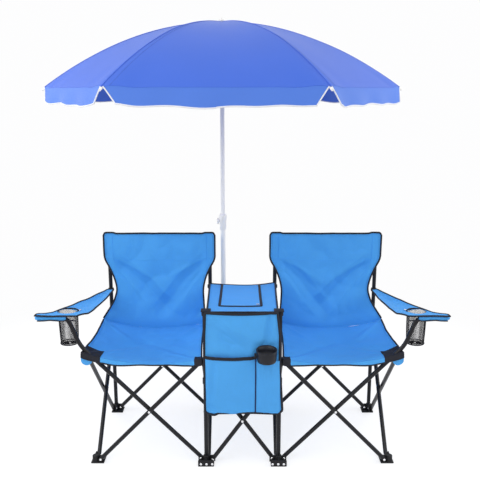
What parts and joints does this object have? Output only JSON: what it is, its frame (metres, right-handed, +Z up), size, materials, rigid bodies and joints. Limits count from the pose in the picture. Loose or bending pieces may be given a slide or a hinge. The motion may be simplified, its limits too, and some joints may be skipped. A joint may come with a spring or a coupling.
{
  "type": "folding camping loveseat",
  "caption": "Folding camping loveseat: sling chairs on a steel scissor frame, with a soft cooler bag as the table between them and a parasol on a pole behind the bag.",
  "frame": {"origin": "on the ground, under the middle of the bounding box", "axes": "+X to the right chair as seen from the front, +Y to the back, +Z up"},
  "size_m": [1.562, 1.2622, 1.66],
  "materials": {
    "black_tube": "satin powder coat",
    "black_plastic": "moulded matte",
    "blue_cloth": "woven polyester",
    "canopy_cloth": "woven polyester",
    "white_tube": "white gloss paint",
    "white_plastic": "moulded gloss"
  },
  "bodies": {
    "base": {"upright_inner_left": "black_tube", "backrest_left": "blue_cloth", "cooler_body": "blue_cloth"},
    "inner_strut_back_l": {"inner_strut_from_back_left": "black_tube"},
    "hub_front_l": {"hub_front_left": "black_plastic"},
    "inner_strut_front_l": {"inner_strut_from_front_left": "black_tube"},
    "post_front_l": {"post_front_left": "black_tube"},
    "arm_tube_l": {"arm_tube_left": "black_tube", "arm_rest_left": "blue_cloth"},
    "front_strut_l": {"front_strut_left": "black_tube"},
    "foot_front_l": {"foot_front_left": "black_plastic"},
    "middle_strut_l": {"middle_strut_left": "black_tube"},
    "ring_r": {"ring_middle_right": "black_plastic"},
    "middle_strut_r": {"middle_strut_right": "black_tube"},
    "ring_l": {"ring_middle_left": "black_plastic"},
    "post_front_r": {"post_front_right": "black_tube"},
    "arm_tube_r": {"arm_tube_right": "black_tube", "arm_rest_right": "blue_cloth"},
    "front_strut_r": {"front_strut_right": "black_tube"},
    "foot_front_r": {"foot_front_right": "black_plastic"},
    "inner_strut_front_r": {"inner_strut_from_front_right": "black_tube"},
    "hub_inner_r": {"hub_inner_right": "black_plastic"},
    "inner_strut_back_r": {"inner_strut_from_back_right": "black_tube"},
    "hub_front_r": {"hub_front_right": "black_plastic"},
    "upright_inner_r": {"upright_inner_right": "black_tube", "backrest_right": "blue_cloth"},
    "back_strut_inner_r": {"back_strut_from_inner_right": "black_tube"},
    "hub_outer_r": {"hub_outer_right": "black_plastic"},
    "back_strut_outer_r": {"back_strut_from_outer_right": "black_tube"},
    "upright_outer_r": {"upright_outer_right": "black_tube"},
    "outer_strut_back_r": {"outer_strut_from_back_right": "black_tube"},
    "outer_strut_front_r": {"outer_strut_from_front_right": "black_tube"},
    "back_strut_inner_l": {"back_strut_from_inner_left": "black_tube"},
    "hub_outer_l": {"hub_outer_left": "black_plastic"},
    "back_strut_outer_l": {"back_strut_from_outer_left": "black_tube"},
    "hub_inner_l": {"hub_inner_left": "black_plastic"},
    "upright_outer_l": {"upright_outer_left": "black_tube"},
    "outer_strut_back_l": {"outer_strut_from_back_left": "black_tube"},
    "outer_strut_front_l": {"outer_strut_from_front_left": "black_tube"},
    "seat_l": {"seat_left": "blue_cloth"},
    "seat_r": {"seat_right": "blue_cloth"},
    "lid": {"cooler_lid": "blue_cloth"},
    "pole_lower": {"umbrella_lower_pole": "white_tube", "umbrella_collar": "white_plastic"},
    "knob": {"umbrella_knob": "white_plastic"},
    "pole_upper": {"umbrella_upper_pole": "white_tube", "umbrella_canopy": "canopy_cloth"},
    "rib_1": {"umbrella_rib_1": "white_tube"},
    "stretcher_1": {"umbrella_stretcher_1": "white_tube"},
    "runner": {"umbrella_runner": "white_plastic"},
    "rib_2": {"umbrella_rib_2": "white_tube"},
    "stretcher_2": {"umbrella_stretcher_2": "white_tube"},
    "rib_3": {"umbrella_rib_3": "white_tube"},
    "stretcher_3": {"umbrella_stretcher_3": "white_tube"},
    "rib_4": {"umbrella_rib_4": "white_tube"},
    "stretcher_4": {"umbrella_stretcher_4": "white_tube"},
    "rib_5": {"umbrella_rib_5": "white_tube"},
    "stretcher_5": {"umbrella_stretcher_5": "white_tube"},
    "rib_6": {"umbrella_rib_6": "white_tube"},
    "stretcher_6": {"umbrella_stretcher_6": "white_tube"}
  },
  "joints": [
    {"name": "frame_fold", "type": "hinge", "parent": "base", "child": "inner_strut_back_l", "pos_m": [-0.10795, -0.059, 0.016], "axis": [-1, 0, 0], "range_deg": [0, 38], "deforming": ["seat_left", "seat_right", "backrest_left", "backrest_right", "arm_rest_left", "arm_rest_right", "cooler_body", "cooler_lid"]},
    {"name": "hub_front_left_level", "type": "hinge", "parent": "inner_strut_back_l", "child": "hub_front_l", "pos_m": [-0.10795, -0.439, 0.407], "axis": [1, 0, 0], "range_deg": [0, 38]},
    {"name": "inner_scissor_left", "type": "hinge", "parent": "inner_strut_back_l", "child": "inner_strut_front_l", "pos_m": [-0.10795, -0.249, 0.2115], "axis": [1, 0, 0], "range_deg": [0, 76]},
    {"name": "post_front_left_level", "type": "hinge", "parent": "inner_strut_front_l", "child": "post_front_l", "pos_m": [-0.10795, -0.439, 0.016], "axis": [-1, 0, 0], "range_deg": [0, 38]},
    {"name": "arm_tube_left_turn", "type": "hinge", "parent": "post_front_l", "child": "arm_tube_l", "pos_m": [-0.12895, -0.46, 0.016], "axis": [0, 1, 0], "range_deg": [0, 38]},
    {"name": "front_scissor_left", "type": "hinge", "parent": "arm_tube_l", "child": "front_strut_l", "pos_m": [-0.31895, -0.46, 0.2115], "axis": [0, -1, 0], "range_deg": [0, 76]},
    {"name": "foot_front_left_level", "type": "hinge", "parent": "front_strut_l", "child": "foot_front_l", "pos_m": [-0.50895, -0.46, 0.016], "axis": [0, 1, 0], "range_deg": [0, 38]},
    {"name": "middle_strut_left_turn", "type": "hinge", "parent": "post_front_l", "child": "middle_strut_l", "pos_m": [-0.08345, -0.46, 0.016], "axis": [0, -1, 0], "range_deg": [0, 30.78]},
    {"name": "ring_right_level", "type": "hinge", "parent": "middle_strut_l", "child": "ring_r", "pos_m": [0.14155, -0.46, 0.332], "axis": [0, 1, 0], "range_deg": [0, 30.78]},
    {"name": "middle_scissor", "type": "hinge", "parent": "middle_strut_l", "child": "middle_strut_r", "pos_m": [0.02905, -0.46, 0.174], "axis": [0, 1, 0], "range_deg": [0, 61.56]},
    {"name": "ring_left_level", "type": "hinge", "parent": "middle_strut_r", "child": "ring_l", "pos_m": [-0.08345, -0.46, 0.332], "axis": [0, -1, 0], "range_deg": [0, 30.78]},
    {"name": "post_front_right_level", "type": "hinge", "parent": "middle_strut_r", "child": "post_front_r", "pos_m": [0.14155, -0.46, 0.016], "axis": [0, -1, 0], "range_deg": [0, 30.78]},
    {"name": "arm_tube_right_turn", "type": "hinge", "parent": "post_front_r", "child": "arm_tube_r", "pos_m": [0.18705, -0.46, 0.016], "axis": [0, -1, 0], "range_deg": [0, 38]},
    {"name": "front_scissor_right", "type": "hinge", "parent": "arm_tube_r", "child": "front_strut_r", "pos_m": [0.37705, -0.46, 0.2115], "axis": [0, 1, 0], "range_deg": [0, 76]},
    {"name": "foot_front_right_level", "type": "hinge", "parent": "front_strut_r", "child": "foot_front_r", "pos_m": [0.56705, -0.46, 0.016], "axis": [0, -1, 0], "range_deg": [0, 38]},
    {"name": "inner_strut_right_turn", "type": "hinge", "parent": "post_front_r", "child": "inner_strut_front_r", "pos_m": [0.16605, -0.439, 0.016], "axis": [1, 0, 0], "range_deg": [0, 38]},
    {"name": "hub_inner_right_level", "type": "hinge", "parent": "inner_strut_front_r", "child": "hub_inner_r", "pos_m": [0.16605, -0.059, 0.407], "axis": [-1, 0, 0], "range_deg": [0, 38]},
    {"name": "inner_scissor_right", "type": "hinge", "parent": "inner_strut_front_r", "child": "inner_strut_back_r", "pos_m": [0.16605, -0.249, 0.2115], "axis": [-1, 0, 0], "range_deg": [0, 76]},
    {"name": "hub_front_right_level", "type": "hinge", "parent": "inner_strut_back_r", "child": "hub_front_r", "pos_m": [0.16605, -0.439, 0.407], "axis": [1, 0, 0], "range_deg": [0, 38]},
    {"name": "upright_inner_right_level", "type": "hinge", "parent": "inner_strut_back_r", "child": "upright_inner_r", "pos_m": [0.16605, -0.059, 0.016], "axis": [1, 0, 0], "range_deg": [0, 38]},
    {"name": "back_strut_right_turn", "type": "hinge", "parent": "upright_inner_r", "child": "back_strut_inner_r", "pos_m": [0.18705, -0.038, 0.016], "axis": [0, -1, 0], "range_deg": [0, 38]},
    {"name": "hub_outer_right_level", "type": "hinge", "parent": "back_strut_inner_r", "child": "hub_outer_r", "pos_m": [0.56705, -0.038, 0.407], "axis": [0, 1, 0], "range_deg": [0, 38]},
    {"name": "back_scissor_right", "type": "hinge", "parent": "back_strut_inner_r", "child": "back_strut_outer_r", "pos_m": [0.37705, -0.038, 0.2115], "axis": [0, 1, 0], "range_deg": [0, 76]},
    {"name": "upright_outer_right_level", "type": "hinge", "parent": "back_strut_outer_r", "child": "upright_outer_r", "pos_m": [0.56705, -0.038, 0.016], "axis": [0, -1, 0], "range_deg": [0, 38]},
    {"name": "outer_strut_right_turn", "type": "hinge", "parent": "upright_outer_r", "child": "outer_strut_back_r", "pos_m": [0.58805, -0.059, 0.016], "axis": [-1, 0, 0], "range_deg": [0, 38]},
    {"name": "outer_scissor_right", "type": "hinge", "parent": "outer_strut_back_r", "child": "outer_strut_front_r", "pos_m": [0.58805, -0.249, 0.2115], "axis": [1, 0, 0], "range_deg": [0, 76]},
    {"name": "back_strut_left_turn", "type": "hinge", "parent": "base", "child": "back_strut_inner_l", "pos_m": [-0.12895, -0.038, 0.016], "axis": [0, 1, 0], "range_deg": [0, 38]},
    {"name": "hub_outer_left_level", "type": "hinge", "parent": "back_strut_inner_l", "child": "hub_outer_l", "pos_m": [-0.50895, -0.038, 0.407], "axis": [0, -1, 0], "range_deg": [0, 38]},
    {"name": "back_scissor_left", "type": "hinge", "parent": "back_strut_inner_l", "child": "back_strut_outer_l", "pos_m": [-0.31895, -0.038, 0.2115], "axis": [0, -1, 0], "range_deg": [0, 76]},
    {"name": "hub_inner_left_level", "type": "hinge", "parent": "back_strut_outer_l", "child": "hub_inner_l", "pos_m": [-0.12895, -0.038, 0.407], "axis": [0, 1, 0], "range_deg": [0, 38]},
    {"name": "upright_outer_left_level", "type": "hinge", "parent": "back_strut_outer_l", "child": "upright_outer_l", "pos_m": [-0.50895, -0.038, 0.016], "axis": [0, 1, 0], "range_deg": [0, 38]},
    {"name": "outer_strut_left_turn", "type": "hinge", "parent": "upright_outer_l", "child": "outer_strut_back_l", "pos_m": [-0.52995, -0.059, 0.016], "axis": [-1, 0, 0], "range_deg": [0, 38]},
    {"name": "outer_scissor_left", "type": "hinge", "parent": "outer_strut_back_l", "child": "outer_strut_front_l", "pos_m": [-0.52995, -0.249, 0.2115], "axis": [1, 0, 0], "range_deg": [0, 76]},
    {"name": "seat_left_fold", "type": "hinge", "parent": "base", "child": "seat_l", "pos_m": [-0.34595, -0.069, 0.405], "axis": [-1, 0, 0], "range_deg": [0, 74.86]},
    {"name": "seat_right_fold", "type": "hinge", "parent": "upright_inner_r", "child": "seat_r", "pos_m": [0.40405, -0.069, 0.405], "axis": [-1, 0, 0], "range_deg": [0, 74.86]},
    {"name": "cooler_lid_hinge", "type": "hinge", "parent": "base", "child": "lid", "pos_m": [0.02155, -0.05975, 0.58072], "axis": [-1, 0, 0], "range_deg": [0, 95]},
    {"name": "umbrella_lift", "type": "slide", "parent": "base", "child": "pole_lower", "axis": [0, 0, 1], "range_m": [0, 0.4]},
    {"name": "umbrella_knob_turn", "type": "hinge", "parent": "pole_lower", "child": "knob", "pos_m": [-0.05295, 0, 0.845], "axis": [-1, 0, 0], "range_deg": [0, 360]},
    {"name": "umbrella_height", "type": "slide", "parent": "pole_lower", "child": "pole_upper", "axis": [0, 0, 1], "range_m": [0, 0.12]},
    {"name": "umbrella_fold", "type": "hinge", "parent": "pole_upper", "child": "rib_1", "pos_m": [-0.04545, -0.01299, 1.64], "axis": [0.866, 0.5, 0], "range_deg": [0, 66], "deforming": ["umbrella_canopy"]},
    {"name": "stretcher_1_turn", "type": "hinge", "parent": "rib_1", "child": "stretcher_1", "pos_m": [0.12854, -0.31435, 1.56905], "axis": [-0.866, -0.5, 0], "range_deg": [0, 132]},
    {"name": "runner_level", "type": "hinge", "parent": "stretcher_1", "child": "runner", "pos_m": [-0.04545, -0.01299, 1.49809], "axis": [0.866, 0.5, 0], "range_deg": [0, 66]},
    {"name": "rib_2_turn", "type": "hinge", "parent": "pole_upper", "child": "rib_2", "pos_m": [-0.03795, 0, 1.64], "axis": [0, 1, 0], "range_deg": [0, 66]},
    {"name": "stretcher_2_turn", "type": "hinge", "parent": "rib_2", "child": "stretcher_2", "pos_m": [0.31003, 0, 1.56905], "axis": [0, -1, 0], "range_deg": [0, 132]},
    {"name": "rib_3_turn", "type": "hinge", "parent": "pole_upper", "child": "rib_3", "pos_m": [-0.04545, 0.01299, 1.64], "axis": [-0.866, 0.5, 0], "range_deg": [0, 66]},
    {"name": "stretcher_3_turn", "type": "hinge", "parent": "rib_3", "child": "stretcher_3", "pos_m": [0.12854, 0.31435, 1.56905], "axis": [0.866, -0.5, 0], "range_deg": [0, 132]},
    {"name": "rib_4_turn", "type": "hinge", "parent": "pole_upper", "child": "rib_4", "pos_m": [-0.06045, 0.01299, 1.64], "axis": [-0.866, -0.5, 0], "range_deg": [0, 66]},
    {"name": "stretcher_4_turn", "type": "hinge", "parent": "rib_4", "child": "stretcher_4", "pos_m": [-0.23444, 0.31435, 1.56905], "axis": [0.866, 0.5, 0], "range_deg": [0, 132]},
    {"name": "rib_5_turn", "type": "hinge", "parent": "pole_upper", "child": "rib_5", "pos_m": [-0.06795, 0, 1.64], "axis": [0, -1, 0], "range_deg": [0, 66]},
    {"name": "stretcher_5_turn", "type": "hinge", "parent": "rib_5", "child": "stretcher_5", "pos_m": [-0.41593, 0, 1.56905], "axis": [0, 1, 0], "range_deg": [0, 132]},
    {"name": "rib_6_turn", "type": "hinge", "parent": "pole_upper", "child": "rib_6", "pos_m": [-0.06045, -0.01299, 1.64], "axis": [0.866, -0.5, 0], "range_deg": [0, 66]},
    {"name": "stretcher_6_turn", "type": "hinge", "parent": "rib_6", "child": "stretcher_6", "pos_m": [-0.23444, -0.31435, 1.56905], "axis": [-0.866, 0.5, 0], "range_deg": [0, 132]}
  ],
  "couplings": [
    {"joint": "hub_front_left_level", "follows": "frame_fold", "ratio": 1},
    {"joint": "inner_scissor_left", "follows": "frame_fold", "ratio": 2},
    {"joint": "post_front_left_level", "follows": "frame_fold", "ratio": 1},
    {"joint": "arm_tube_left_turn", "follows": "frame_fold", "ratio": 1},
    {"joint": "front_scissor_left", "follows": "frame_fold", "ratio": 2},
    {"joint": "foot_front_left_level", "follows": "frame_fold", "ratio": 1},
    {"joint": "middle_strut_left_turn", "follows": "frame_fold", "ratio": 0.81},
    {"joint": "ring_right_level", "follows": "frame_fold", "ratio": 0.81},
    {"joint": "middle_scissor", "follows": "frame_fold", "ratio": 1.62},
    {"joint": "ring_left_level", "follows": "frame_fold", "ratio": 0.81},
    {"joint": "post_front_right_level", "follows": "frame_fold", "ratio": 0.81},
    {"joint": "arm_tube_right_turn", "follows": "frame_fold", "ratio": 1},
    {"joint": "front_scissor_right", "follows": "frame_fold", "ratio": 2},
    {"joint": "foot_front_right_level", "follows": "frame_fold", "ratio": 1},
    {"joint": "inner_strut_right_turn", "follows": "frame_fold", "ratio": 1},
    {"joint": "hub_inner_right_level", "follows": "frame_fold", "ratio": 1},
    {"joint": "inner_scissor_right", "follows": "frame_fold", "ratio": 2},
    {"joint": "hub_front_right_level", "follows": "frame_fold", "ratio": 1},
    {"joint": "upright_inner_right_level", "follows": "frame_fold", "ratio": 1},
    {"joint": "back_strut_right_turn", "follows": "frame_fold", "ratio": 1},
    {"joint": "hub_outer_right_level", "follows": "frame_fold", "ratio": 1},
    {"joint": "back_scissor_right", "follows": "frame_fold", "ratio": 2},
    {"joint": "upright_outer_right_level", "follows": "frame_fold", "ratio": 1},
    {"joint": "outer_strut_right_turn", "follows": "frame_fold", "ratio": 1},
    {"joint": "outer_scissor_right", "follows": "frame_fold", "ratio": 2},
    {"joint": "back_strut_left_turn", "follows": "frame_fold", "ratio": 1},
    {"joint": "hub_outer_left_level", "follows": "frame_fold", "ratio": 1},
    {"joint": "back_scissor_left", "follows": "frame_fold", "ratio": 2},
    {"joint": "hub_inner_left_level", "follows": "frame_fold", "ratio": 1},
    {"joint": "upright_outer_left_level", "follows": "frame_fold", "ratio": 1},
    {"joint": "outer_strut_left_turn", "follows": "frame_fold", "ratio": 1},
    {"joint": "outer_scissor_left", "follows": "frame_fold", "ratio": 2},
    {"joint": "seat_left_fold", "follows": "frame_fold", "ratio": 1.97},
    {"joint": "seat_right_fold", "follows": "frame_fold", "ratio": 1.97},
    {"joint": "stretcher_1_turn", "follows": "umbrella_fold", "ratio": 2},
    {"joint": "runner_level", "follows": "umbrella_fold", "ratio": 1},
    {"joint": "rib_2_turn", "follows": "umbrella_fold", "ratio": 1},
    {"joint": "stretcher_2_turn", "follows": "umbrella_fold", "ratio": 2},
    {"joint": "rib_3_turn", "follows": "umbrella_fold", "ratio": 1},
    {"joint": "stretcher_3_turn", "follows": "umbrella_fold", "ratio": 2},
    {"joint": "rib_4_turn", "follows": "umbrella_fold", "ratio": 1},
    {"joint": "stretcher_4_turn", "follows": "umbrella_fold", "ratio": 2},
    {"joint": "rib_5_turn", "follows": "umbrella_fold", "ratio": 1},
    {"joint": "stretcher_5_turn", "follows": "umbrella_fold", "ratio": 2},
    {"joint": "rib_6_turn", "follows": "umbrella_fold", "ratio": 1},
    {"joint": "stretcher_6_turn", "follows": "umbrella_fold", "ratio": 2}
  ]
}
